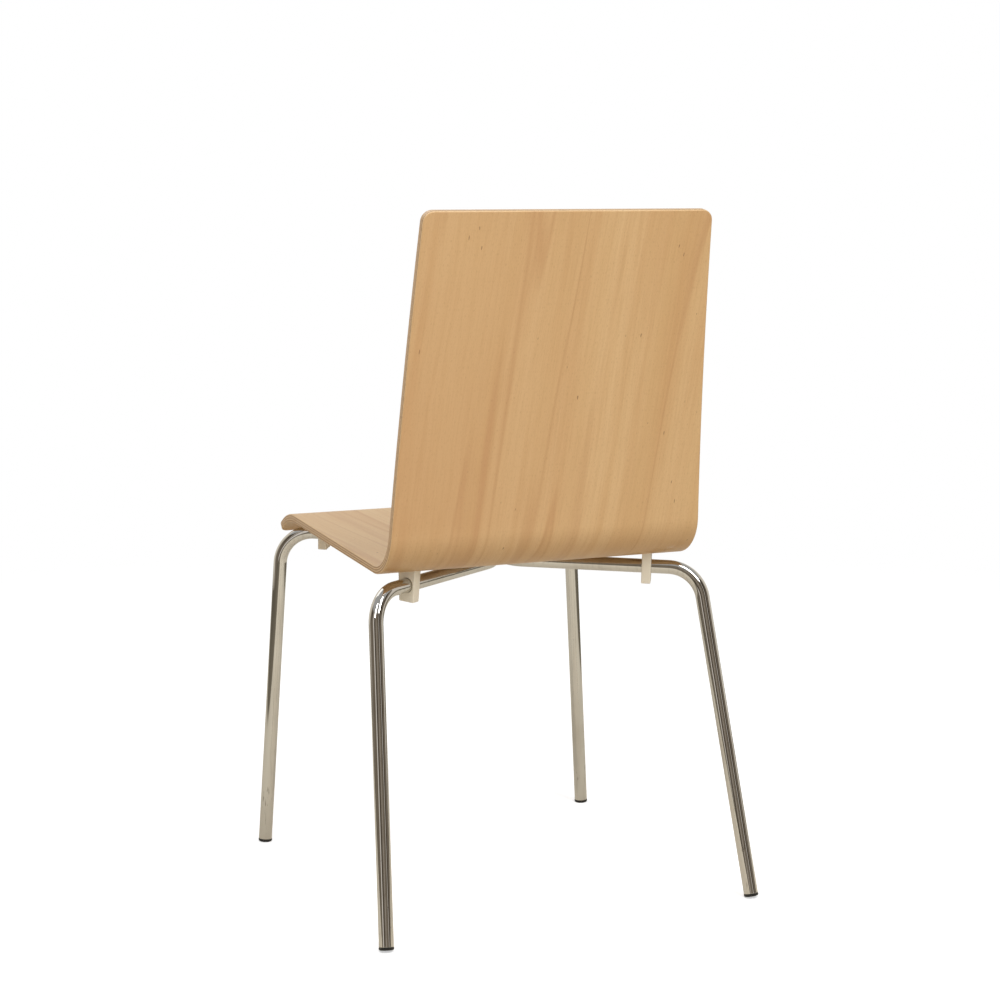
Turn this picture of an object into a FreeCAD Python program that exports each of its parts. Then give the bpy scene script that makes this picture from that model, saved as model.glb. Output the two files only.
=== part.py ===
"""Stacking chair: a one-piece moulded plywood shell on a bent steel tube frame.

The shell is carried by four plastic spacers threaded on the tubes.  A screw goes up through each
spacer and tube into a threaded insert in the shell.  +Z is up, the sitter looks along -Y, and the
chair stands on Z = 0 with the middle of its bounding box over the origin.  Units are millimetres.
"""

import FreeCAD, Part
import math
import os

V = FreeCAD.Vector

# ---- driving dimensions: shell -------------------------------------------------------------
SHELL_THICKNESS = 10.5
SHELL_WIDTH = 420.0          # seat and lower back
SHELL_TOP_WIDTH = 379.0      # across the top edge of the back
SEAT_SLOPE_DEG = 3.7         # the seat falls towards the back
SEAT_FLAT_LENGTH = 302.0     # straight part of the seat, front to back
SEAT_TOP_AT_BEND = 440.8     # height of the sitting surface where the bend starts
SEAT_BEND_Y = 103.0          # where the bend starts
LIP_RADIUS = 88.0            # sitting surface of the rolled front edge
LIP_SWEEP_DEG = 45.0
BEND_RADIUS = 48.0           # sitting side of the bend between seat and back
BACK_START_LEAN_DEG = 6.5    # lean of the back just above the bend
BACK_END_LEAN_DEG = 11.5     # lean of the back at its top edge
BACK_LENGTH = 394.4
TAPER_START_Z = 460.0        # below this height the shell has its full width
TAPER_BLEND_RADIUS = 700.0
TOP_CORNER_RADIUS = 13.0
FRONT_CORNER_RADIUS = 8.0
SHELL_EDGE_ROUND = 1.8

# ---- driving dimensions: frame -------------------------------------------------------------
TUBE_DIAMETER = 18.0
TUBE_WALL = 1.5
TUBE_END_ROUND = 0.6
SADDLE_HEIGHT = 7.0          # gap between the tubes and the underside of the seat
LEG_BEND_RADIUS = 46.0
MIDDLE_BEND_RADIUS = 32.0
MIDDLE_GAP = 0.6             # between the two tubes where they are welded
REAR_FOOT_X = 249.2
REAR_FOOT_Y = 243.2
FRONT_FOOT_X = 243.2
FRONT_FOOT_Y = -242.7
REAR_CORNER_X = 221.7        # where the axes of leg and rail would meet
REAR_CORNER_Y = 141.0
FRONT_CORNER_X = 216.3
FRONT_CORNER_Y = -231.0
REAR_RAIL_DEG = 29.8         # angle of the rails to the chair's width, seen from above
FRONT_RAIL_DEG = 33.0
WELD_LENGTH = 60.0
WELD_FACE_DROP = 3.2         # weld face below the top of the tubes

# ---- driving dimensions: spacers and their screws ------------------------------------------
REAR_SPACER_FROM_CORNER = 66.0
FRONT_SPACER_FROM_CORNER = 59.0
SPACER_LENGTH = 12.0         # along the tube
SPACER_TOP_OVERHANG = 4.5    # beyond each side of the tube
SPACER_BOTTOM_OVERHANG = 2.0
SPACER_BELOW_TUBE = 12.2
SPACER_CORNER_ROUND = 1.2
SPACER_BORE_CLEARANCE = 0.1
SPACER_BORE_CHAMFER = 0.8
SPACER_WEB = 3.0             # plastic between the tube and the screw head
SCREW_DIAMETER = 5.0
SCREW_SHORT_OF_INSERT = 0.4  # from the tip of the screw to the end of the insert
SCREW_HEAD_DIAMETER = 8.5
SCREW_HEAD_HEIGHT = 5.0
HEX_SOCKET_ACROSS_FLATS = 4.0
HEX_SOCKET_DEPTH = 2.5
SCREW_HOLE_CLEARANCE = 0.25
HEAD_HOLE_CLEARANCE = 0.35
INSERT_DIAMETER = 8.0
WOOD_OVER_INSERT = 2.5
INSERT_CLEARANCE = 0.05
INSERT_GROOVES = 3
INSERT_GROOVE_DEPTH = 0.35
THREAD_CLEARANCE = 0.04

# ---- driving dimensions: foot glides -------------------------------------------------------
GLIDE_HEIGHT = 3.9           # from the end of the tube to the sole, along the leg
GLIDE_OVERHANG = 0.35        # rim beyond the outside of the tube
GLIDE_RIM_ROUND = 0.5
GLIDE_SOLE_ROUND = 1.7
GLIDE_SOLE_CROWN = 0.25      # the sole is this much lower in the middle
GLIDE_WEAR = 0.2             # depth of the flat where the tilted sole meets the floor
GLIDE_SHANK_LENGTH = 16.0
GLIDE_FINS = 3
GLIDE_FIN_DEPTH = 0.9
GLIDE_FIT = 0.05

# ---- values that follow from them ----------------------------------------------------------
TUBE_RADIUS = TUBE_DIAMETER / 2
TUBE_BORE = TUBE_RADIUS - TUBE_WALL
SLOPE = math.radians(SEAT_SLOPE_DEG)
MIDDLE_X = TUBE_RADIUS + MIDDLE_GAP / 2
SPACER_TOP_WIDTH = TUBE_DIAMETER + SPACER_TOP_OVERHANG * 2
SPACER_BOTTOM_WIDTH = TUBE_DIAMETER + SPACER_BOTTOM_OVERHANG * 2
SPACER_DROP = TUBE_RADIUS + SPACER_BELOW_TUBE
SCREW_SEAT_DEPTH = TUBE_RADIUS + SPACER_BORE_CLEARANCE + SPACER_WEB
INSERT_LENGTH = SHELL_THICKNESS - WOOD_OVER_INSERT
INSERT_LOW = TUBE_RADIUS + SADDLE_HEIGHT
INSERT_HIGH = INSERT_LOW + INSERT_LENGTH


def seat_top(y):
    """Height of the straight part of the sitting surface, carried on to any Y."""
    return SEAT_TOP_AT_BEND - (y - SEAT_BEND_Y) * math.tan(SLOPE)


def rail_height(y):
    """Height of the tube axes under the seat: a plane at a fixed distance below its underside."""
    return seat_top(y) - (SHELL_THICKNESS + SADDLE_HEIGHT + TUBE_RADIUS) / math.cos(SLOPE)


# ---- shell ---------------------------------------------------------------------------------
def bow(y, z, heading, radius, turn):
    """One arc in the YZ plane: its middle point, end point and end heading (turn > 0 is upwards)."""
    side = math.copysign(1.0, turn)
    cy = y - side * radius * math.sin(heading)
    cz = z + side * radius * math.cos(heading)

    def at(angle):
        return cy + side * radius * math.sin(angle), cz - side * radius * math.cos(angle)

    return at(heading + turn / 2), at(heading + turn), heading + turn


def profile_edges(depth):
    """The shell's line at a depth below its sitting surface, from the front lip to the top edge."""
    lip_turn = math.radians(LIP_SWEEP_DEG)
    bend_turn = math.radians(90.0 - BACK_START_LEAN_DEG) + SLOPE
    back_turn = math.radians(BACK_END_LEAN_DEG - BACK_START_LEAN_DEG)
    start_y = SEAT_BEND_Y - SEAT_FLAT_LENGTH * math.cos(SLOPE) - depth * math.sin(SLOPE)
    start_z = seat_top(SEAT_BEND_Y - SEAT_FLAT_LENGTH * math.cos(SLOPE)) - depth * math.cos(SLOPE)
    lip_mid, lip_end, _ = bow(start_y, start_z, math.pi - SLOPE, LIP_RADIUS - depth, lip_turn)
    bend_y = SEAT_BEND_Y - depth * math.sin(SLOPE)
    bend_z = SEAT_TOP_AT_BEND - depth * math.cos(SLOPE)
    bend_mid, bend_end, heading = bow(bend_y, bend_z, -SLOPE, BEND_RADIUS + depth, bend_turn)
    back_radius = BACK_LENGTH / back_turn
    back_mid, back_end, _ = bow(*bend_end, heading, back_radius - depth, -back_turn)

    def point(pair):
        return V(0, pair[0], pair[1])

    seat_start, seat_end = point((start_y, start_z)), point((bend_y, bend_z))
    return [
        Part.Arc(point(lip_end), point(lip_mid), seat_start).toShape(),
        Part.LineSegment(seat_start, seat_end).toShape(),
        Part.Arc(seat_end, point(bend_mid), point(bend_end)).toShape(),
        Part.Arc(point(bend_end), point(back_mid), point(back_end)).toShape(),
    ]


def taper_cutters(top_z):
    """What is taken off each side of the back: beyond a line that leans in, with a blended start."""
    half, half_top = SHELL_WIDTH / 2, SHELL_TOP_WIDTH / 2
    lean = math.atan2(half - half_top, top_z - TAPER_START_Z)
    # the blend is a round in the side's line, and it ends above the flat of the seat
    blend = min(TAPER_BLEND_RADIUS * math.tan(lean / 2), TAPER_START_Z - SEAT_TOP_AT_BEND)
    radius = blend / math.tan(lean / 2)
    slant = V(-math.sin(lean), 0, math.cos(lean))
    y = SEAT_BEND_Y
    kink = V(half, y, TAPER_START_Z)
    low, past = kink - V(0, 0, blend), kink + slant * blend
    beyond = kink + slant * (top_z - TAPER_START_Z) * 1.2
    turn_centre = low - V(radius, 0, 0)
    middle = turn_centre + V(math.cos(lean / 2), 0, math.sin(lean / 2)) * radius
    outer_high, outer_low = V(half + 20, y, beyond.z), V(half + 20, y, low.z)
    edges = [
        Part.Arc(low, middle, past).toShape(),
        Part.LineSegment(past, beyond).toShape(),
        Part.LineSegment(beyond, outer_high).toShape(),
        Part.LineSegment(outer_high, outer_low).toShape(),
        Part.LineSegment(outer_low, low).toShape(),
    ]
    cutter = Part.Face(Part.Wire(edges)).extrude(V(0, BACK_LENGTH, 0))
    return cutter, mirrored(cutter)


def make_shell():
    """The bent sheet, tapered towards the top, with rounded corners and an eased rim."""
    inner, outer = profile_edges(0.0), profile_edges(SHELL_THICKNESS)
    caps = [
        Part.LineSegment(inner[0].Vertexes[0].Point, outer[0].Vertexes[0].Point).toShape(),
        Part.LineSegment(inner[-1].Vertexes[-1].Point, outer[-1].Vertexes[-1].Point).toShape(),
    ]
    section = Part.Face(Part.Wire(Part.__sortEdges__(inner + outer + caps)))
    section.translate(V(-SHELL_WIDTH / 2, 0, 0))
    shell = section.extrude(V(SHELL_WIDTH, 0, 0))
    for cutter in taper_cutters(shell.BoundBox.ZMax):
        shell = shell.cut(cutter)
    lip, top = (cap.CenterOfMass for cap in caps)
    shell = round_corners(shell, lip, FRONT_CORNER_RADIUS)
    shell = round_corners(shell, top, TOP_CORNER_RADIUS)
    rims = [edge for edge in shell.Edges if on_rim(edge, (lip, top))]
    return shell.makeFillet(SHELL_EDGE_ROUND, rims).Solids[0]


def away_from(edge, point):
    """Distance seen from the side between the middle of an edge and a point."""
    return math.hypot(edge.CenterOfMass.y - point.y, edge.CenterOfMass.z - point.z)


def round_corners(shell, end, radius):
    """Round the two corners of the sheet at one of its ends."""
    corners = [e for e in shell.Edges if e.BoundBox.XLength < 1 and away_from(e, end) < 1]
    return shell.makeFillet(radius, corners)


def on_rim(edge, ends):
    """True for the edges round the two broad faces, and not for those across the thickness."""
    crosses_shell = edge.BoundBox.XLength > SHELL_TOP_WIDTH / 2
    if crosses_shell:
        return min(away_from(edge, end) for end in ends) < SHELL_THICKNESS
    ends_of_edge = [vertex.Point for vertex in edge.Vertexes]
    through = abs((ends_of_edge[0] - ends_of_edge[-1]).Length - SHELL_THICKNESS) < 0.6
    return not (through and edge.Curve.TypeId == "Part::GeomLine")


# ---- frame ---------------------------------------------------------------------------------
def rounded_path(points, radii):
    """Straight runs through the points, with a tangent arc of the given radius at each corner."""
    edges = []
    start = points[0]
    for before, corner, after, radius in zip(points, points[1:], points[2:], radii):
        into = (corner - before).normalize()
        away = (after - corner).normalize()
        turn = into.getAngle(away)
        arm = radius * math.tan(turn / 2)
        first, last = corner - into * arm, corner + away * arm
        bisector = (away - into).normalize()
        centre = corner + bisector * (radius / math.cos(turn / 2))
        edges.append(Part.LineSegment(start, first).toShape())
        edges.append(Part.Arc(first, centre - bisector * radius, last).toShape())
        start = last
    edges.append(Part.LineSegment(start, points[-1]).toShape())
    return Part.Wire(edges)


def frame_points():
    """The corners of one tube's axis, on the +X side, from the rear foot to the front foot."""
    rear_y = REAR_CORNER_Y - (REAR_CORNER_X - MIDDLE_X) * math.tan(math.radians(REAR_RAIL_DEG))
    front_y = FRONT_CORNER_Y + (FRONT_CORNER_X - MIDDLE_X) * math.tan(math.radians(FRONT_RAIL_DEG))
    return [
        V(REAR_FOOT_X, REAR_FOOT_Y, 0),
        V(REAR_CORNER_X, REAR_CORNER_Y, rail_height(REAR_CORNER_Y)),
        V(MIDDLE_X, rear_y, rail_height(rear_y)),
        V(MIDDLE_X, front_y, rail_height(front_y)),
        V(FRONT_CORNER_X, FRONT_CORNER_Y, rail_height(FRONT_CORNER_Y)),
        V(FRONT_FOOT_X, FRONT_FOOT_Y, 0),
    ]


def sweep_round(wire, radius):
    start = wire.Edges[0]
    tangent = start.tangentAt(start.FirstParameter)
    circle = Part.Wire(Part.makeCircle(radius, start.valueAt(start.FirstParameter), tangent))
    return wire.makePipeShell([circle], True, True)


def make_tube(screw_seats):
    corners = frame_points()
    rear_leg = (corners[1] - corners[0]).normalize()
    front_leg = (corners[4] - corners[5]).normalize()
    corners[0] = corners[0] + rear_leg * (sole_rise(rear_leg) + GLIDE_HEIGHT)
    corners[5] = corners[5] + front_leg * (sole_rise(front_leg) + GLIDE_HEIGHT)
    radii = [LEG_BEND_RADIUS, MIDDLE_BEND_RADIUS, MIDDLE_BEND_RADIUS, LEG_BEND_RADIUS]
    path = rounded_path(corners, radii)
    outside = sweep_round(path, TUBE_RADIUS)
    ends = [
        edge for edge in outside.Edges
        if edge.Curve.TypeId == "Part::GeomCircle" and edge.CenterOfMass.z < GLIDE_HEIGHT * 3
    ]
    outside = outside.makeFillet(TUBE_END_ROUND, ends)
    tube = outside.cut(sweep_round(path, TUBE_BORE))
    for seat in screw_seats:
        tube = tube.cut(seat.cylinder(SCREW_DIAMETER / 2 + SCREW_HOLE_CLEARANCE, -TUBE_DIAMETER, TUBE_DIAMETER))
    return tube.Solids[0]


def make_weld():
    """Two beads that fill the grooves above and below the pair of tubes."""
    corners = frame_points()
    along = (corners[2] - corners[3]).normalize()
    up = V(1, 0, 0).cross(along)
    start = (corners[2] + corners[3]) * 0.5 - along * (WELD_LENGTH / 2)
    start.x = 0
    beads = []
    for sign in (1, -1):
        face = up * (sign * (TUBE_RADIUS - WELD_FACE_DROP))
        points = [start, start + face + V(MIDDLE_X, 0, 0), start + face - V(MIDDLE_X, 0, 0), start]
        bead = Part.Face(Part.makePolygon(points)).extrude(along * WELD_LENGTH)
        for side in (1, -1):
            base = start + V(side * MIDDLE_X, 0, 0) - along
            bead = bead.cut(Part.makeCylinder(TUBE_RADIUS, WELD_LENGTH + 2, base, along))
        beads += bead.Solids
    return Part.makeCompound(beads)


# ---- spacers, screws and inserts -----------------------------------------------------------
class Seat:
    """The place of one spacer: its point on the tube's axis, and axes along and across the tube."""

    def __init__(self, corner, inward, distance, side):
        along = (inward - corner).normalize()
        self.point = corner + along * distance
        if side < 0:
            self.point.x, along.x = -self.point.x, -along.x
        self.along = along
        self.up = V(0, math.sin(SLOPE), math.cos(SLOPE))
        self.across = self.up.cross(self.along).normalize()

    def at(self, along, across, up):
        return self.point + self.along * along + self.across * across + self.up * up

    def height_of(self, point):
        """Height of a point above the tube's axis, square to the seat."""
        return (point - self.point).dot(self.up)

    def cylinder(self, radius, low, high):
        return Part.makeCylinder(radius, high - low, self.at(0, 0, low), self.up)


def seats():
    corners = frame_points()
    rear = (corners[1], corners[2], REAR_SPACER_FROM_CORNER)
    front = (corners[4], corners[3], FRONT_SPACER_FROM_CORNER)
    return {
        "front_left": Seat(*front, 1),
        "front_right": Seat(*front, -1),
        "rear_left": Seat(*rear, 1),
        "rear_right": Seat(*rear, -1),
    }


def make_spacer(seat, shell):
    """A block round the tube whose top follows the underside of the shell."""
    top = INSERT_LOW + SHELL_THICKNESS / 2
    half = SPACER_LENGTH / 2
    outline = [
        seat.at(-half, SPACER_TOP_WIDTH / 2, top),
        seat.at(-half, -SPACER_TOP_WIDTH / 2, top),
        seat.at(-half, -SPACER_BOTTOM_WIDTH / 2, -SPACER_DROP),
        seat.at(-half, SPACER_BOTTOM_WIDTH / 2, -SPACER_DROP),
    ]
    block = Part.Face(Part.makePolygon(outline + outline[:1])).extrude(seat.along * SPACER_LENGTH)
    block = block.makeFillet(SPACER_CORNER_ROUND, [e for e in block.Edges if not touches_top(e, seat, top)])
    bore = TUBE_RADIUS + SPACER_BORE_CLEARANCE
    block = block.cut(Part.makeCylinder(bore, SPACER_LENGTH * 2, seat.at(-SPACER_LENGTH, 0, 0), seat.along))
    for sign in (1, -1):
        mouth = Part.makeCone(
            bore, bore + SPACER_BORE_CHAMFER * 2, SPACER_BORE_CHAMFER * 2,
            seat.at(sign * (half - SPACER_BORE_CHAMFER), 0, 0), seat.along * sign,
        )
        block = block.cut(mouth)
    block = block.cut(seat.cylinder(SCREW_DIAMETER / 2 + SCREW_HOLE_CLEARANCE, -SPACER_DROP - 1, top + 1))
    head_hole = SCREW_HEAD_DIAMETER / 2 + HEAD_HOLE_CLEARANCE
    block = block.cut(seat.cylinder(head_hole, -SPACER_DROP - 1, -SCREW_SEAT_DEPTH))
    block = block.cut(seat.cylinder(INSERT_DIAMETER / 2 + INSERT_CLEARANCE, INSERT_LOW, top + 1))
    return block.cut(shell).Solids[0]


def touches_top(edge, seat, top):
    """True for the four edges of the face under the seat."""
    return all(seat.height_of(vertex.Point) > top - 0.01 for vertex in edge.Vertexes)


def make_screw(seat):
    bearing = SCREW_SEAT_DEPTH
    tip_height = INSERT_HIGH - SCREW_SHORT_OF_INSERT
    shank = seat.cylinder(SCREW_DIAMETER / 2, -bearing - 0.5, tip_height)
    tip = [edge for edge in shank.Edges if seat.height_of(edge.CenterOfMass) > tip_height - 0.1]
    shank = shank.makeChamfer(0.5, tip[:1])
    head = seat.cylinder(SCREW_HEAD_DIAMETER / 2, -bearing - SCREW_HEAD_HEIGHT, -bearing)
    rim = [edge for edge in head.Edges if seat.height_of(edge.CenterOfMass) < 0.1 - bearing - SCREW_HEAD_HEIGHT]
    head = head.makeFillet(0.5, rim)
    radius = HEX_SOCKET_ACROSS_FLATS / math.sqrt(3)
    bottom = -bearing - SCREW_HEAD_HEIGHT - 0.1
    hexagon = []
    for k in range(7):
        angle = math.radians(60 * k)
        hexagon.append(seat.at(radius * math.cos(angle), radius * math.sin(angle), bottom))
    socket = Part.Face(Part.makePolygon(hexagon)).extrude(seat.up * (HEX_SOCKET_DEPTH + 0.1))
    return head.fuse(shank).cut(socket).removeSplitter().Solids[0]


def make_insert(seat):
    low, high = INSERT_LOW, INSERT_HIGH
    body = seat.cylinder(INSERT_DIAMETER / 2, low, high)
    pitch = INSERT_LENGTH / (INSERT_GROOVES * 2 + 1)
    for k in range(INSERT_GROOVES):
        groove_low = low + pitch * (2 * k + 1)
        ring = seat.cylinder(INSERT_DIAMETER, groove_low, groove_low + pitch)
        ring = ring.cut(seat.cylinder(INSERT_DIAMETER / 2 - INSERT_GROOVE_DEPTH, groove_low, groove_low + pitch))
        body = body.cut(ring)
    return body.cut(seat.cylinder(SCREW_DIAMETER / 2 + THREAD_CLEARANCE, low - 1, high + 1)).Solids[0]


def drill_shell(shell, places):
    radius = INSERT_DIAMETER / 2 + INSERT_CLEARANCE
    for seat in places.values():
        shell = shell.cut(seat.cylinder(radius, INSERT_LOW - 5, INSERT_HIGH + INSERT_CLEARANCE))
    return shell.Solids[0]


# ---- foot glides ---------------------------------------------------------------------------
def sole_rise(leg):
    """How far up a leg's axis its tilted sole sits, so that the sole's lowest part is on the floor."""
    tilt = leg.getAngle(V(0, 0, 1))
    return (TUBE_RADIUS + GLIDE_OVERHANG - GLIDE_SOLE_ROUND) * math.tan(tilt) - GLIDE_SOLE_CROWN - GLIDE_WEAR


def make_glide(foot, corner, side):
    """A plastic plug in the end of a leg: fins inside the tube, a rim, and a sole crowned a little."""
    rim = TUBE_RADIUS + GLIDE_OVERHANG
    fin = TUBE_BORE - GLIDE_FIT
    core = fin - GLIDE_FIN_DEPTH
    sole = rim - GLIDE_SOLE_ROUND
    crown = GLIDE_SOLE_CROWN
    side_low = crown + GLIDE_SOLE_ROUND
    corner_x = rim - GLIDE_SOLE_ROUND * (1 - math.sqrt(0.5))
    corner_z = crown + GLIDE_SOLE_ROUND * (1 - math.sqrt(0.5))
    curves = [
        Part.Arc(V(0, 0, 0), V(sole / 2, 0, crown / 4), V(sole, 0, crown)).toShape(),
        Part.Arc(V(sole, 0, crown), V(corner_x, 0, corner_z), V(rim, 0, side_low)).toShape(),
    ]
    wall = [
        V(rim, 0, side_low),
        V(rim, 0, GLIDE_HEIGHT - GLIDE_RIM_ROUND),
        V(rim - GLIDE_RIM_ROUND, 0, GLIDE_HEIGHT),
        V(core, 0, GLIDE_HEIGHT),
    ]
    step = GLIDE_SHANK_LENGTH / (GLIDE_FINS * 2 + 1)
    for k in range(GLIDE_FINS):
        low = GLIDE_HEIGHT + step * (2 * k + 1)
        wall += [V(core, 0, low), V(fin, 0, low + step * 0.3), V(fin, 0, low + step), V(core, 0, low + step)]
    wall += [V(core, 0, GLIDE_HEIGHT + GLIDE_SHANK_LENGTH), V(0, 0, GLIDE_HEIGHT + GLIDE_SHANK_LENGTH), V(0, 0, 0)]
    edges = curves + [Part.LineSegment(a, b).toShape() for a, b in zip(wall, wall[1:])]
    plug = Part.Face(Part.Wire(edges)).revolve(V(0, 0, 0), V(0, 0, 1), 360)
    leg = (corner - foot).normalize()
    plug.Placement = FreeCAD.Placement(foot + leg * sole_rise(leg), FreeCAD.Rotation(V(0, 0, 1), leg))
    floor_cut = Part.makeBox(60, 60, 20, V(foot.x - 30, foot.y - 30, -20))
    plug = plug.cut(floor_cut).Solids[0]
    return plug if side > 0 else mirrored(plug)


def mirrored(shape):
    return shape.mirror(V(0, 0, 0), V(1, 0, 0))


# ---- assembly ------------------------------------------------------------------------------
def build():
    places = seats()
    shell = drill_shell(make_shell(), places)
    left_seats = [places["front_left"], places["rear_left"]]
    left_tube = make_tube(left_seats)
    corners = frame_points()
    parts = {
        "seat_shell": shell,
        "frame_tube_left": left_tube,
        "frame_tube_right": mirrored(left_tube),
        "middle_weld": make_weld(),
    }
    for name, seat in places.items():
        parts["spacer_" + name] = make_spacer(seat, shell)
        parts["screw_" + name] = make_screw(seat)
        parts["insert_" + name] = make_insert(seat)
    for name, side in (("left", 1), ("right", -1)):
        parts["foot_glide_rear_" + name] = make_glide(corners[0], corners[1], side)
        parts["foot_glide_front_" + name] = make_glide(corners[5], corners[4], side)
    return parts, places


def centre(parts):
    """How far to move the model along Y so that its bounding box is centred over the origin."""
    boxes = [shape.optimalBoundingBox() for shape in parts.values()]
    return -(min(b.YMin for b in boxes) + max(b.YMax for b in boxes)) / 2


def main():
    os.makedirs("parts", exist_ok=True)
    parts, places = build()
    move = V(0, centre(parts), 0)
    for name, shape in parts.items():
        shape.translate(move)
        if not shape.isValid():
            raise RuntimeError(name + " is not a valid solid")
        shape.exportStep("parts/" + name + ".step")
        box = shape.optimalBoundingBox()
        print(f"{name:26s} solids {len(shape.Solids)} volume {shape.Volume / 1000:9.3f} cm3 "
              f"x {box.XMin:.1f}..{box.XMax:.1f} y {box.YMin:.1f}..{box.YMax:.1f} z {box.ZMin:.2f}..{box.ZMax:.1f}")
        if name.startswith("foot_glide"):
            flat = [face for face in shape.Faces if face.BoundBox.ZMax < 0.001]
            print("    on the floor at", [round(c, 3) for c in flat[0].CenterOfMass], "area", round(flat[0].Area, 1))
    print("moved along Y by", round(move.y, 4))
    for name, seat in places.items():
        point = seat.point + move
        print("screw axis", name, [round(c, 4) for c in point], "direction", [round(c, 6) for c in seat.up])


main()
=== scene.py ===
import math

import bmesh
import bpy
from mathutils import Matrix, Vector
from mathutils.bvhtree import BVHTree


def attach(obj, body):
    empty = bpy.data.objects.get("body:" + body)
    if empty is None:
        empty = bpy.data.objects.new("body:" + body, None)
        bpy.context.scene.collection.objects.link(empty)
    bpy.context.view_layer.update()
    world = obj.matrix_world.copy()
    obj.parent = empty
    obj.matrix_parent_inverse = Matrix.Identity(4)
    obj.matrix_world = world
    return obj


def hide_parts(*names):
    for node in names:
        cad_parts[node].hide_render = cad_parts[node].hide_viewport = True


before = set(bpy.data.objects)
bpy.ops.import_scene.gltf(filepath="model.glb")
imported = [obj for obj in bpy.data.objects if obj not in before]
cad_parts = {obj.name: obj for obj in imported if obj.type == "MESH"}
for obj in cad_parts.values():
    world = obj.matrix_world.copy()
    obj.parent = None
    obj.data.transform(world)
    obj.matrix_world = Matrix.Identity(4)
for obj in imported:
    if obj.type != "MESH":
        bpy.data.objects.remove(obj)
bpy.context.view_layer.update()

# ---- camera ---------------------------------------------------------------------------------
# Behind the chair, off to the sitter's left, with its lens at about the height of the top of the
# back and tipped a little down.
azimuth, elevation = math.radians(156.16), math.radians(8.18)
level = math.cos(elevation)
look = Vector((-math.sin(azimuth) * level, math.cos(azimuth) * level, -math.sin(elevation)))
camera_data = bpy.data.cameras.new("camera")
camera_data.sensor_width = 36.0
camera_data.lens = 79.51
camera_data.clip_start = 0.1
camera_data.clip_end = 60.0
camera = bpy.data.objects.new("camera", camera_data)
camera.location = (1.1437, 2.6056, 0.9034)
camera.rotation_euler = look.to_track_quat("-Z", "Y").to_euler()
scene = bpy.context.scene
scene.collection.objects.link(camera)
scene.camera = camera
scene.view_settings.view_transform = "Standard"

# ---- shell ----------------------------------------------------------------------------------
# Seat and back are one sheet of moulded beech plywood, bent once and rolled down at the front.
# It is drawn here as the line of its sitting side, swept across the width, tapered, then thickened.
MIDDLE_Y = 0.0049421         # from the middle of the chair's box to the line its sizes start from
SHELL_THICKNESS = 0.0105
SHELL_WIDTH = 0.420
SHELL_TOP_WIDTH = 0.379
SEAT_SLOPE = math.radians(3.7)
SEAT_FLAT = 0.302
LIP_RADIUS, LIP_SWEEP = 0.088, math.radians(45.0)
BEND_RADIUS, BACK_START_LEAN, BACK_END_LEAN = 0.048, math.radians(6.5), math.radians(11.5)
BACK_LENGTH = 0.3944
TAPER_START_Z = 0.460
TAPER_BLEND_RADIUS = 0.700
TOP_CORNER, FRONT_CORNER = 0.013, 0.008
SHELL_EDGE_ROUND = 0.0018
SEAT_ROWS, LIP_STEPS, BEND_STEPS, BACK_STEPS = 9, 7, 24, 18
CORNER_SEGMENTS, ROUND_SEGMENTS = 7, 3
BEND_Y = 0.103 + MIDDLE_Y
bend_point = Vector((0, BEND_Y, 0.4408))


class Sock:
    """A socket of a material's node tree that takes part in sums like a number."""

    def __init__(self, socket):
        self.socket = socket
        self.tree = socket.id_data

    def node(self, kind, settings=None, out=0, **values):
        """A node of any type: settings first, then its sockets, named, or numbered as in i0."""
        made = self.tree.nodes.new(kind)
        for key, value in (settings or {}).items():
            setattr(made, key, value)
        for key, value in values.items():
            entry = made.inputs[int(key[1:]) if key[1:].isdigit() else key.replace("_", " ")]
            if isinstance(value, Sock):
                self.tree.links.new(value.socket, entry)
            else:
                entry.default_value = value
        return Sock(made.outputs[out])

    def maths(self, operation, *others):
        values = {f"i{k}": value for k, value in enumerate((self, *others))}
        return self.node("ShaderNodeMath", {"operation": operation}, **values)

    def __add__(self, other):
        return self.maths("ADD", other)

    def __sub__(self, other):
        return self.maths("SUBTRACT", other)

    def __rsub__(self, other):
        return self.node("ShaderNodeMath", {"operation": "SUBTRACT"}, i0=other, i1=self)

    def __mul__(self, other):
        return self.maths("MULTIPLY", other)

    __radd__, __rmul__ = __add__, __mul__

    def __truediv__(self, other):
        return self.maths("DIVIDE", other)

    def axis(self, number):
        return self.node("ShaderNodeSeparateXYZ", out=number, i0=self)

    def spread(self, low, high, start=0.0, end=1.0):
        """low..high carried to start..end, with soft ends."""
        return self.node("ShaderNodeMapRange", {"interpolation_type": "SMOOTHSTEP"},
                         i0=self, i1=low, i2=high, i3=start, i4=end)

    def blend(self, first, second):
        """The first colour where this is 0 and the second where it is 1."""
        return self.node("ShaderNodeMix", {"data_type": "RGBA"}, out=2,
                         i0=self, i6=first, i7=second)

    def into(self, shader, name):
        self.tree.links.new(self.socket, shader.inputs[name])


def paint(name, roughness, metallic=0.0):
    """A material, its shader and a socket of object coordinates."""
    material = bpy.data.materials.new(name)
    material.use_nodes = True
    shader = material.node_tree.nodes["Principled BSDF"]
    shader.inputs["Roughness"].default_value = roughness
    shader.inputs["Metallic"].default_value = metallic
    place = material.node_tree.nodes.new("ShaderNodeTexCoord").outputs["Object"]
    return material, shader, Sock(place)


def shade(*rgb):
    """A colour written as 0..255 on a screen."""
    return tuple(((c / 255 + 0.055) / 1.055) ** 2.4 for c in rgb) + (1.0,)


def noise(place, x, y, z, scale=1.0, detail=2.0, roughness=0.5):
    vector = place.node("ShaderNodeCombineXYZ", i0=x, i1=y, i2=z)
    return place.node("ShaderNodeTexNoise", {"noise_dimensions": "3D"}, Vector=vector,
                      Scale=scale, Detail=detail, Roughness=roughness)


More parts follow.
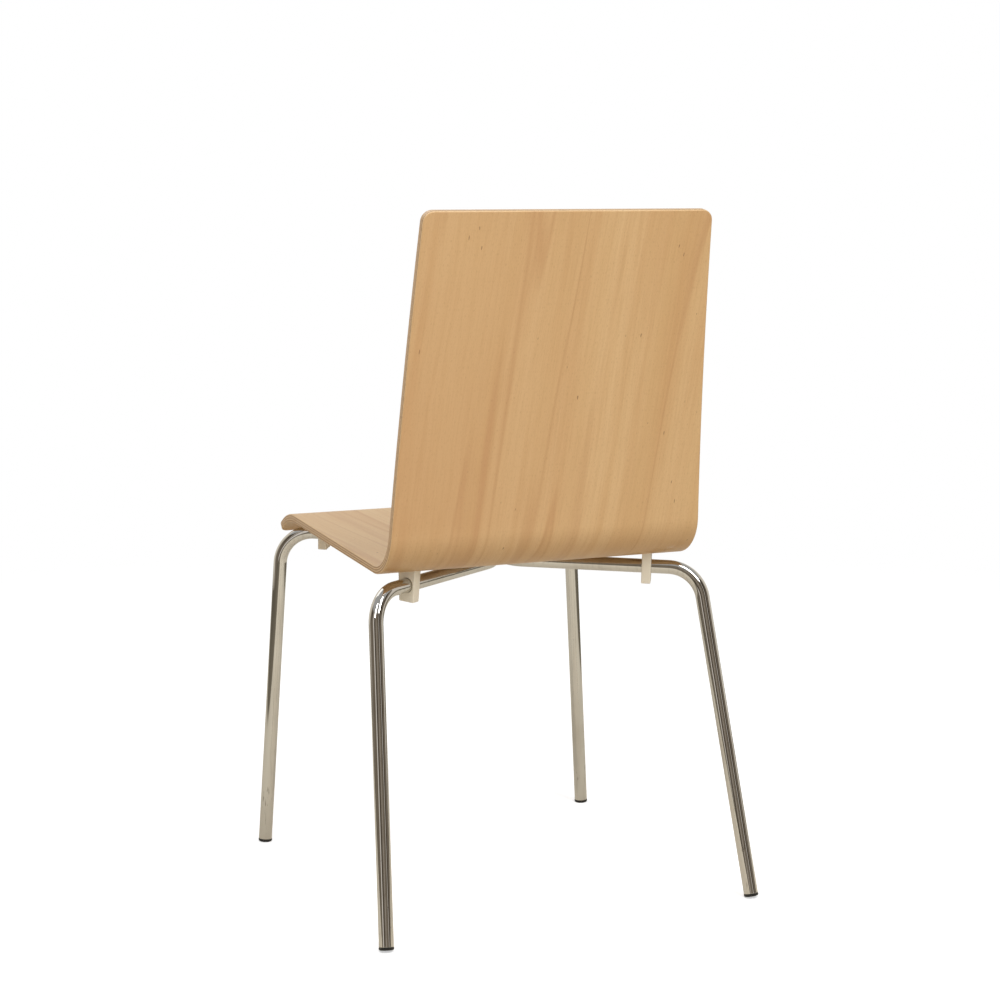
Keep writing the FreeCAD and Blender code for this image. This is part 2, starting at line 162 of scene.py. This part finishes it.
def finished(name, bm, material, *nodes, crease=40.0):
    """The bmesh as a smooth object that rides on the chair and stands for its CAD nodes."""
    mesh = bpy.data.meshes.new(name)
    bm.to_mesh(mesh)
    bm.free()
    mesh.shade_smooth()
    mesh.set_sharp_from_angle(angle=math.radians(crease))
    mesh.materials.append(material)
    made = bpy.data.objects.new(name, mesh)
    scene.collection.objects.link(made)
    made.modifiers.new("broad_faces_stay_flat", "WEIGHTED_NORMAL").keep_sharp = True
    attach(made, "root")
    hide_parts(*nodes)
    return made


def swept(bm, geom, centre, axis, angle, steps):
    """Spins the last edges about an axis and returns the new last edges."""
    spun = bmesh.ops.spin(bm, geom=geom, cent=centre, axis=axis, angle=angle, steps=steps)
    return spun["geom_last"]


def pushed(bm, geom, step):
    """Extrudes the last edges in a straight line and returns the new last edges."""
    edges = [e for e in geom if isinstance(e, bmesh.types.BMEdge)]
    new = bmesh.ops.extrude_edge_only(bm, edges=edges)["geom"]
    verts = [v for v in new if isinstance(v, bmesh.types.BMVert)]
    bmesh.ops.translate(bm, vec=step, verts=verts)
    return verts + [e for e in new if isinstance(e, bmesh.types.BMEdge)]


def in_line(heading):
    """Unit vector along the shell at a heading above the horizontal, going back."""
    return Vector((0, math.cos(heading), math.sin(heading)))


def above(heading):
    return Vector((0, -math.sin(heading), math.cos(heading)))


AXIS = Vector((1, 0, 0))
sheet = bmesh.new()
left = sheet.verts.new(bend_point + AXIS * SHELL_WIDTH / 2)
right = sheet.verts.new(bend_point - AXIS * SHELL_WIDTH / 2)
bend_line = [left, right, sheet.edges.new((left, right))]
# backwards: the flat seat, then the rolled front edge
line = bend_line
for _ in range(SEAT_ROWS):
    line = pushed(sheet, line, -in_line(-SEAT_SLOPE) * SEAT_FLAT / SEAT_ROWS)
seat_front = bend_point - in_line(-SEAT_SLOPE) * SEAT_FLAT
swept(sheet, line, seat_front - above(-SEAT_SLOPE) * LIP_RADIUS, AXIS, LIP_SWEEP, LIP_STEPS)
# upwards: the bend, then the gently bowed back
bend_turn = math.pi / 2 - BACK_START_LEAN + SEAT_SLOPE
bend_centre = bend_point + above(-SEAT_SLOPE) * BEND_RADIUS
line = swept(sheet, bend_line, bend_centre, AXIS, bend_turn, BEND_STEPS)
back_heading = math.pi / 2 - BACK_START_LEAN
back_start = bend_centre - above(back_heading) * BEND_RADIUS
back_turn = BACK_END_LEAN - BACK_START_LEAN
back_radius = BACK_LENGTH / back_turn
back_centre = back_start - above(back_heading) * back_radius
swept(sheet, line, back_centre, AXIS, -back_turn, BACK_STEPS)

# the back narrows towards its top: planes that touch a wide arc, the last along the slanting side
top_z = max(vert.co.z for vert in sheet.verts)
lean = math.atan2((SHELL_WIDTH - SHELL_TOP_WIDTH) / 2, top_z - TAPER_START_Z)
arc_start_z = TAPER_START_Z - TAPER_BLEND_RADIUS * math.tan(lean / 2)
arc_centre = Vector((SHELL_WIDTH / 2 - TAPER_BLEND_RADIUS, 0, arc_start_z))
PAST_BEND, NEAR_TOP, PAST_SEAT_FRONT = 0.01, 0.01, 0.05
for side in (1, -1):
    for part in (0.25, 0.5, 0.75, 1.0):
        normal = Vector((math.cos(lean * part), 0, math.sin(lean * part)))
        touch = arc_centre + normal * TAPER_BLEND_RADIUS
        touch.x, normal.x = touch.x * side, normal.x * side
        back = [f for f in sheet.faces if f.calc_center_median().y > bend_point.y + PAST_BEND]
        geom = list({item for f in back for item in (*f.verts, *f.edges, f)})
        bmesh.ops.bisect_plane(sheet, geom=geom, plane_co=touch, plane_no=normal, clear_outer=True)
corners = [vert for vert in sheet.verts if len(vert.link_edges) == 2]
for vert in corners:
    at_top = vert.co.z > top_z - NEAR_TOP
    if at_top or vert.co.y < seat_front.y - PAST_SEAT_FRONT:
        bmesh.ops.bevel(sheet, geom=[vert], offset=TOP_CORNER if at_top else FRONT_CORNER,
                        segments=CORNER_SEGMENTS, profile=0.5, affect="VERTICES", material=-1)
bmesh.ops.recalc_face_normals(sheet, faces=sheet.faces)
if min(sheet.faces, key=lambda f: (f.calc_center_median() - bend_point).length).normal.z < 0:
    bmesh.ops.reverse_faces(sheet, faces=sheet.faces)
sitting_side = BVHTree.FromBMesh(sheet)


def depth_at(point):
    """Distance into the sheet from its sitting side."""
    return sitting_side.find_nearest(point)[3]


bmesh.ops.solidify(sheet, geom=list(sheet.faces), thickness=SHELL_THICKNESS)
SAME_DEPTH = 0.001           # a rim edge that differs less than this lies along the sheet
rim_edges = set()
for face in sheet.faces:
    depths = [depth_at(vert.co) for vert in face.verts]
    if max(depths) - min(depths) > SHELL_THICKNESS / 2:
        rim_edges |= {e for e in face.edges
                      if abs(depth_at(e.verts[0].co) - depth_at(e.verts[1].co)) < SAME_DEPTH}
bmesh.ops.bevel(sheet, geom=list(rim_edges), offset=SHELL_EDGE_ROUND, segments=ROUND_SEGMENTS,
                profile=0.5, affect="EDGES", material=-1)
bmesh.ops.recalc_face_normals(sheet, faces=sheet.faces)
depth_layer = sheet.verts.layers.float.new("depth")
for vert in sheet.verts:
    vert[depth_layer] = min(depth_at(vert.co), SHELL_THICKNESS)

# Beech: a warm pale tan with broad soft bands, thin growth lines, fine streaks and tiny dark pores
# that all run the length of the sheet, and on the back a darker, redder tone towards the sitter's
# left that is partly the wood's own and partly painted shade, deepest low down.  The rim shows the
# glued veneers, light and dark in turn.
VENEERS = 7
FACE_END, EDGE_START = 0.0003, 0.0008        # depths between which the face gives way to the layers
beech, beech_shader, place = paint("beech_plywood", 0.38)
beech_shader.inputs["Coat Weight"].default_value = 0.12
beech_shader.inputs["Coat Roughness"].default_value = 0.22
across = place.axis(0)
along = place.axis(1) + place.axis(2)
drift = noise(place, across * 2.2, along * 1.1, 0.6) - 0.5
across = across + along * 0.08 + drift * 0.05
bands = noise(place, across * 11.0, along * 0.5, 1.7, detail=3.0)
growth = noise(place, across * 17.0, along * 0.7, 3.3, detail=2.0)
streaks = noise(place, across * 60.0, along * 1.6, 4.1, detail=4.0, roughness=0.6)
hairs = noise(place, across * 520.0, along * 14.0, 7.3, detail=3.0)
pores = noise(place, across * 2300.0, along * 210.0, 2.2, detail=0.0).spread(0.62, 0.74)
flecks = noise(place, across * 330.0, along * 70.0, 8.8, detail=0.0).spread(0.845, 0.87)
lines = 1.0 - (growth - 0.5).maths("ABSOLUTE").spread(0.0, 0.030)
wood = bands.spread(0.36, 0.66).blend(shade(221, 185, 135), shade(209, 168, 116))
wood = (streaks.spread(0.42, 0.72) * 0.34).blend(wood, shade(200, 151, 101))
wood = (lines * 0.32).blend(wood, shade(186, 132, 86))
wood = (hairs.spread(0.40, 0.75) * 0.16).blend(wood, shade(182, 132, 82))
wood = (pores * 0.22).blend(wood, shade(150, 104, 64))
wood = (flecks * 0.7).blend(wood, shade(120, 76, 44))
# Painted shade with a redder tone: the back turns darker and redder towards the sitter's left, most
# of all low down; none on the seat.
redder_tone_and_painted_shade = place.axis(0).spread(-0.14, 0.21) * (1.0 - place.axis(2).spread(0.50, 0.88) * 0.45)
redder_tone_and_painted_shade = redder_tone_and_painted_shade * place.axis(2).spread(0.44, 0.50) * 0.42
wood = redder_tone_and_painted_shade.blend(wood, shade(196, 145, 97))
depth = place.node("ShaderNodeAttribute", {"attribute_name": "depth"}, out=2)
layer = depth * (VENEERS / SHELL_THICKNESS)
of_two = layer.maths("MODULO", 2.0)
turned = of_two.spread(0.90, 1.10) * (1.0 - of_two.spread(1.90, 2.0))
cross = turned.blend(shade(232, 200, 152), shade(178, 130, 82))
glue = 1.0 - (layer.maths("FRACT") - 0.5).maths("ABSOLUTE").spread(0.36, 0.5) * 0.6
cross = glue.blend(shade(112, 74, 42), cross)
end_grain = noise(place, place.axis(0) * 700.0, place.axis(1) * 260.0, place.axis(2) * 260.0)
cross = (end_grain.spread(0.45, 0.75) * 0.25).blend(cross, shade(140, 98, 60))
underside = depth.spread(SHELL_THICKNESS - EDGE_START, SHELL_THICKNESS - FACE_END)
inside = depth.spread(FACE_END, EDGE_START) * (1.0 - underside)
inside.blend(wood, cross).into(beech_shader, "Base Color")
(0.34 + streaks * 0.10).into(beech_shader, "Roughness")
grain_bump = place.node("ShaderNodeBump", Strength=0.10, Distance=0.0003,
                        Height=hairs - pores * 0.8)
grain_bump.into(beech_shader, "Normal")
shell = finished("shell", sheet, beech, "seat_shell")

# ---- frame tubes ----------------------------------------------------------------------------
# Two chromed steel tubes, each bent four times: rear leg, rear rail, a short run beside its twin in
# the middle, front rail, front leg.  Each is a ring pushed and spun along that line.
TUBE_RADIUS, TUBE_WALL = 0.009, 0.0015
TUBE_RIM_ROUND = 0.0006
OPEN_BORE = 0.018            # the bore is drawn this far in from each end, behind the glide
LEG_BEND, MIDDLE_BEND = 0.046, 0.032
MIDDLE_X = 0.0093
REAR_CORNER_X, REAR_CORNER_Y = 0.2217, 0.141
FRONT_CORNER_X, FRONT_CORNER_Y = 0.2163, -0.231
REAR_RAIL, FRONT_RAIL = math.radians(29.8), math.radians(33.0)
SADDLE = 0.0070              # what a spacer leaves between the shell and the tube
GLIDE_HEIGHT = 0.0039
GLIDE_OVERHANG, GLIDE_SOLE_ROUND, GLIDE_CROWN, GLIDE_WEAR = 0.00035, 0.0017, 0.00025, 0.0002


def rail_point(x, y):
    """A point on the plane of the tube axes under the seat."""
    drop = (SHELL_THICKNESS + SADDLE + TUBE_RADIUS) / math.cos(SEAT_SLOPE)
    y += MIDDLE_Y
    return Vector((x, y, bend_point.z - (y - BEND_Y) * math.tan(SEAT_SLOPE) - drop))


rear_foot = Vector((0.2492, 0.2432 + MIDDLE_Y, 0))
front_foot = Vector((0.2432, -0.2427 + MIDDLE_Y, 0))
tube_line = [
    rear_foot,
    rail_point(REAR_CORNER_X, REAR_CORNER_Y),
    rail_point(MIDDLE_X, REAR_CORNER_Y - (REAR_CORNER_X - MIDDLE_X) * math.tan(REAR_RAIL)),
    rail_point(MIDDLE_X, FRONT_CORNER_Y + (FRONT_CORNER_X - MIDDLE_X) * math.tan(FRONT_RAIL)),
    rail_point(FRONT_CORNER_X, FRONT_CORNER_Y),
    front_foot,
]


def bent_tube(points, bends, radius, sides=72, steps=48):
    """A tube along straight runs with a round bend at each inner point, its two rims eased."""
    bm = bmesh.new()
    way = (points[1] - points[0]).normalized()
    start = Matrix.Translation(points[0]) @ way.to_track_quat("Z", "Y").to_matrix().to_4x4()
    ring = bmesh.ops.create_circle(bm, cap_ends=False, segments=sides, radius=radius,
                                   matrix=start)["verts"]
    ring = ring + list({e for v in ring for e in v.link_edges})
    first = [e for e in ring if isinstance(e, bmesh.types.BMEdge)]
    here = points[0]
    for corner, after, bend in zip(points[1:], points[2:], bends):
        way, next_way = (corner - here).normalized(), (after - corner).normalized()
        turn = way.angle(next_way)
        arm = bend * math.tan(turn / 2)
        ring = pushed(bm, ring, corner - way * arm - here)
        inward = (next_way - way).normalized()
        centre = corner + inward * (bend / math.cos(turn / 2))
        ring = swept(bm, ring, centre, way.cross(next_way).normalized(), turn, steps)
        here = corner + next_way * arm
    ring = pushed(bm, ring, points[-1] - here)
    last = [e for e in ring if isinstance(e, bmesh.types.BMEdge)]
    for rim, out in ((first, points[0] - points[1]), (last, points[-1] - points[-2])):
        out.normalize()
        middle = sum((v.co for e in rim for v in e.verts), Vector()) / (2 * len(rim))
        inner = pushed(bm, rim, Vector())
        verts = [v for v in inner if isinstance(v, bmesh.types.BMVert)]
        wall = (radius - TUBE_WALL) / radius
        bmesh.ops.scale(bm, vec=(wall, wall, wall), space=Matrix.Translation(-middle), verts=verts)
        deep = pushed(bm, inner, out * -OPEN_BORE)
        bmesh.ops.edgeloop_fill(bm, edges=[e for e in deep if isinstance(e, bmesh.types.BMEdge)])
    bmesh.ops.bevel(bm, geom=first + last, offset=TUBE_RIM_ROUND, segments=ROUND_SEGMENTS,
                    profile=0.5, affect="EDGES", material=-1)
    bmesh.ops.recalc_face_normals(bm, faces=bm.faces)
    return bm


def tube_end(foot, corner):
    """Where the tube stops short of the floor: the leaning glide stands on the edge of its sole."""
    way = (corner - foot).normalized()
    sole_edge = TUBE_RADIUS + GLIDE_OVERHANG - GLIDE_SOLE_ROUND
    rise = sole_edge * math.hypot(way.x, way.y) / way.z - GLIDE_CROWN - GLIDE_WEAR
    return foot + way * (rise + GLIDE_HEIGHT)


# Bright chrome with the faint haze and fine rubbed lines of handling, and scuffs near the floor.
chrome, chrome_shader, place = paint("chrome", 0.03, metallic=1.0)
haze = noise(place, place.axis(0), place.axis(1), place.axis(2), scale=14.0, detail=3.0)
rubbed = noise(place, place.axis(0) * 260.0, place.axis(1) * 260.0, place.axis(2) * 9.0, detail=3.0)
scuffs = noise(place, place.axis(0) * 120.0, place.axis(1) * 120.0, place.axis(2) * 22.0,
               detail=4.0, roughness=0.7)
scuffs = scuffs.spread(0.60, 0.70) * (1.0 - place.axis(2).spread(0.05, 0.20))
plated = haze.spread(0.4, 0.8).blend(shade(208, 206, 201), shade(196, 193, 187))
plated = (rubbed.spread(0.50, 0.80) * 0.25).blend(plated, shade(150, 144, 134))
(scuffs * 0.55).blend(plated, shade(96, 88, 76)).into(chrome_shader, "Base Color")
(0.012 + haze * 0.025 + scuffs * 0.15).into(chrome_shader, "Roughness")
tube_line[0] = tube_end(rear_foot, tube_line[1])
tube_line[-1] = tube_end(front_foot, tube_line[-2])
for side, name in ((1, "left"), (-1, "right")):
    run = [Vector((point.x * side, point.y, point.z)) for point in tube_line]
    tube = bent_tube(run, (LEG_BEND, MIDDLE_BEND, MIDDLE_BEND, LEG_BEND), TUBE_RADIUS)
    tube = finished("frame_tube_" + name + "_chromed", tube, chrome, "frame_tube_" + name)

# ---- weld -----------------------------------------------------------------------------------
# A plated bead above and below fills the groove between the two tubes.
weld, weld_shader, place = paint("plated_weld", 0.28, metallic=1.0)
weld_shader.inputs["Base Color"].default_value = shade(176, 174, 168)
ripple = noise(place, place.axis(0), place.axis(1) * 4.0, place.axis(2), scale=260.0)
ripple_bump = place.node("ShaderNodeBump", Strength=0.5, Distance=0.0006, Height=ripple)
ripple_bump.into(weld_shader, "Normal")


def finish_node(name, material):
    """Gives a CAD node its material; its shape stays as it is."""
    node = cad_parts[name]
    node.data.materials.clear()
    node.data.materials.append(material)


finish_node("middle_weld", weld)

# ---- spacers --------------------------------------------------------------------------------
# Moulded beige plastic blocks threaded on the rails, tapering downwards.  They hold the shell off
# the rails, and the next chair in a stack rests its seat on them.
plastic, plastic_shader, _ = paint("spacer_plastic", 0.42)
plastic_shader.inputs["Base Color"].default_value = shade(238, 230, 211)
CORNERS = ("front_left", "front_right", "rear_left", "rear_right")
for name in CORNERS:
    finish_node("spacer_" + name, plastic)

# ---- screws and inserts ---------------------------------------------------------------------
# A socket-head screw goes up through each spacer and rail into a brass insert in the shell.
zinc, zinc_shader, _ = paint("zinc_plate", 0.32, metallic=1.0)
zinc_shader.inputs["Base Color"].default_value = shade(170, 170, 172)
brass, brass_shader, _ = paint("insert_brass", 0.35, metallic=1.0)
brass_shader.inputs["Base Color"].default_value = shade(196, 162, 92)
for name in CORNERS:
    finish_node("screw_" + name, zinc)
    finish_node("insert_" + name, brass)

# ---- foot glides ----------------------------------------------------------------------------
# A black moulded plug in the end of each leg, with a rim as wide as the tube and a domed sole.
black, black_shader, _ = paint("glide_black", 0.38)
black_shader.inputs["Base Color"].default_value = shade(22, 21, 19)
for name in CORNERS:
    finish_node("foot_glide_" + name, black)

# ---- studio ---------------------------------------------------------------------------------
# Pale paper on the floor that reads as pure white, and a white surround.  Two soft boxes hang
# overhead behind the chair, one in front of it, and a low one stands behind.  The metal doesn't see
# that white: it sees the paper as beige and the floor past it dark, and round it the striped wall
# of
# a dim room, which is no lamp but glows: painted reflections that only glossy rays see.
WHITE, BLACK = (1.0, 1.0, 1.0, 1.0), (0.0, 0.0, 0.0, 1.0)
PAPER_HALF_WIDTH, PAPER_EDGE = 1.05, 0.25
FLOOR_HALF_WIDTH, FADE_START, FADE_END = 12.0, 1.2, 2.6
ROOM_RADIUS, ROOM_HEIGHT, ROOM_SIDES = 3.2, 2.7, 96
CAMERA_SIDE = Vector((0.40, 0.92, 0.0))


def studio_piece(name, bm, material):
    data = bpy.data.meshes.new(name)
    bm.to_mesh(data)
    bm.free()
    data.materials.append(material)
    made = bpy.data.objects.new(name, data)
    scene.collection.objects.link(made)
    return made


paper, paper_shader, place = paint("paper", 0.9)
paper_shader.inputs["Specular IOR Level"].default_value = 0.0
CAMERA_RAY, GLOSSY_RAY = 0, 3                # outputs of the Light Path node
camera_ray = place.node("ShaderNodeLightPath", out=CAMERA_RAY)
glossy_ray = place.node("ShaderNodeLightPath", out=GLOSSY_RAY)
# Painted reflection: glossy rays see the paper beige and the floor past it dark, while the camera
# sees it white.
beside = place.axis(0).maths("ABSOLUTE").spread(PAPER_HALF_WIDTH, PAPER_HALF_WIDTH + PAPER_EDGE)
laid = beside.blend((0.84, 0.77, 0.64, 1.0), (0.24, 0.21, 0.16, 1.0))
laid = glossy_ray.blend((0.52, 0.44, 0.34, 1.0), laid)
camera_ray.blend(laid, (0.85, 0.85, 0.85, 1.0)).into(paper_shader, "Base Color")
camera_ray.blend(BLACK, (0.50, 0.50, 0.50, 1.0)).into(paper_shader, "Emission Color")
paper_shader.inputs["Emission Strength"].default_value = 1.0
from_middle = place.node("ShaderNodeVectorMath", {"operation": "LENGTH"}, out=1, i0=place)
(1.0 - camera_ray * from_middle.spread(FADE_START, FADE_END)).into(paper_shader, "Alpha")
ground = bmesh.new()
bmesh.ops.create_grid(ground, x_segments=1, y_segments=1, size=FLOOR_HALF_WIDTH)
studio_piece("floor", ground, paper)

# Painted reflection: the wall glows in dark and pale stripes, and pale all over on the side away
# from the camera, though it is no lamp.
dim, dim_shader, place = paint("dim_room", 1.0)
dim_shader.inputs["Base Color"].default_value = BLACK
dim_shader.inputs["Specular IOR Level"].default_value = 0.0
dim_shader.inputs["Emission Strength"].default_value = 1.0
around = place.axis(1).maths("ARCTAN2", place.axis(0))
stripes = noise(place, around * 3.0, 0.0, place.axis(2) * 0.05, detail=2.0, roughness=0.6)
wall = stripes.spread(0.42, 0.46).blend((0.008, 0.006, 0.003, 1.0), (0.24, 0.20, 0.155, 1.0))
wall = stripes.spread(0.55, 0.58).blend(wall, (0.85, 0.80, 0.76, 1.0))
toward = (place.axis(0) * CAMERA_SIDE.x + place.axis(1) * CAMERA_SIDE.y) / ROOM_RADIUS
painted_bright_side = 1.0 - toward.spread(-0.35, 0.05)
painted_bright_side.blend(wall, (0.86, 0.80, 0.70, 1.0)).into(dim_shader, "Emission Color")
walls = bmesh.new()
bmesh.ops.create_cone(walls, cap_ends=False, segments=ROOM_SIDES, radius1=ROOM_RADIUS,
                      radius2=ROOM_RADIUS, depth=ROOM_HEIGHT,
                      matrix=Matrix.Translation((0, 0, ROOM_HEIGHT / 2)))
room = studio_piece("room", walls, dim)
room.visible_camera = room.visible_diffuse = room.visible_shadow = False
room.visible_transmission = False

world = bpy.data.worlds.new("studio")
world.use_nodes = True
scene.world = world
background = world.node_tree.nodes["Background"]
sky = Sock(world.node_tree.nodes.new("ShaderNodeLightPath").outputs["Is Camera Ray"])
sky.blend((0.50, 0.50, 0.50, 1.0), WHITE).into(background, "Color")


def soft_box(name, stand, target, size, power):
    data = bpy.data.lights.new(name, "AREA")
    data.shape = "RECTANGLE"
    data.size, data.size_y = size
    data.energy = power
    made = bpy.data.objects.new(name, data)
    made.location = stand
    made.rotation_euler = (Vector(target) - Vector(stand)).to_track_quat("-Z", "Y").to_euler()
    scene.collection.objects.link(made)
    return made


soft_box("overhead_left", (1.5, 1.7, 2.6), (0.0, 0.0, 0.5), (0.7, 1.8), 22.0)
soft_box("overhead_right", (-0.7, 2.1, 2.7), (0.0, 0.0, 0.5), (0.7, 1.8), 38.0)
soft_box("front", (0.3, -1.8, 2.4), (0.0, 0.0, 0.4), (2.0, 1.4), 10.0)
low = soft_box("low_rear", (0.9, 3.1, 0.55), (0.0, 0.2, 0.45), (2.2, 0.9), 9.0)
low.visible_glossy = False
